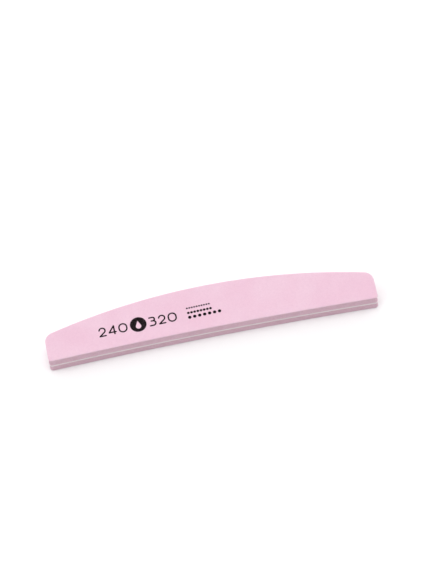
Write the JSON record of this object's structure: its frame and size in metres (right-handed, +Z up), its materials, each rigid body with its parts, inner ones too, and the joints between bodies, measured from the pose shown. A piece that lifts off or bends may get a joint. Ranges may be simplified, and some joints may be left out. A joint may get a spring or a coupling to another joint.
{
  "type": "nail buffer block",
  "caption": "Half-moon nail buffer block: fine abrasive sheets over foam pads, bonded both sides of a stiff core board, for shaping and smoothing nails.",
  "frame": {"origin": "centre of the bounding box's lower face, on the surface that the buffer lies on", "axes": "+X along the length, +Y from the slightly hollow front edge towards the crowned back edge, +Z up through the layers to the printed face"},
  "size_m": [0.178, 0.028, 0.0105],
  "materials": {
    "pink_grit": "fine abrasive grain in a pale pink resin coat, dry matte",
    "pink_foam": "closed-cell foam, die-cut wall with small open cells",
    "backing_paper": "waterproof latex paper, cut edge",
    "tape_film": "clear double-sided tape, cut edge",
    "core_plastic": "white polystyrene board, sheared edge",
    "black_ink": "matte black screen print over grit"
  },
  "bodies": {
    "root": {"core_board": "core_plastic", "upper_inner_tape": "tape_film", "upper_foam_pad": "pink_foam", "upper_outer_tape": "tape_film", "upper_backing_paper": "backing_paper", "upper_grit_coat": "pink_grit", "lower_inner_tape": "tape_film", "lower_foam_pad": "pink_foam", "lower_outer_tape": "tape_film", "lower_backing_paper": "backing_paper", "lower_grit_coat": "pink_grit", "grit_print": "black_ink"}
  },
  "joints": []
}
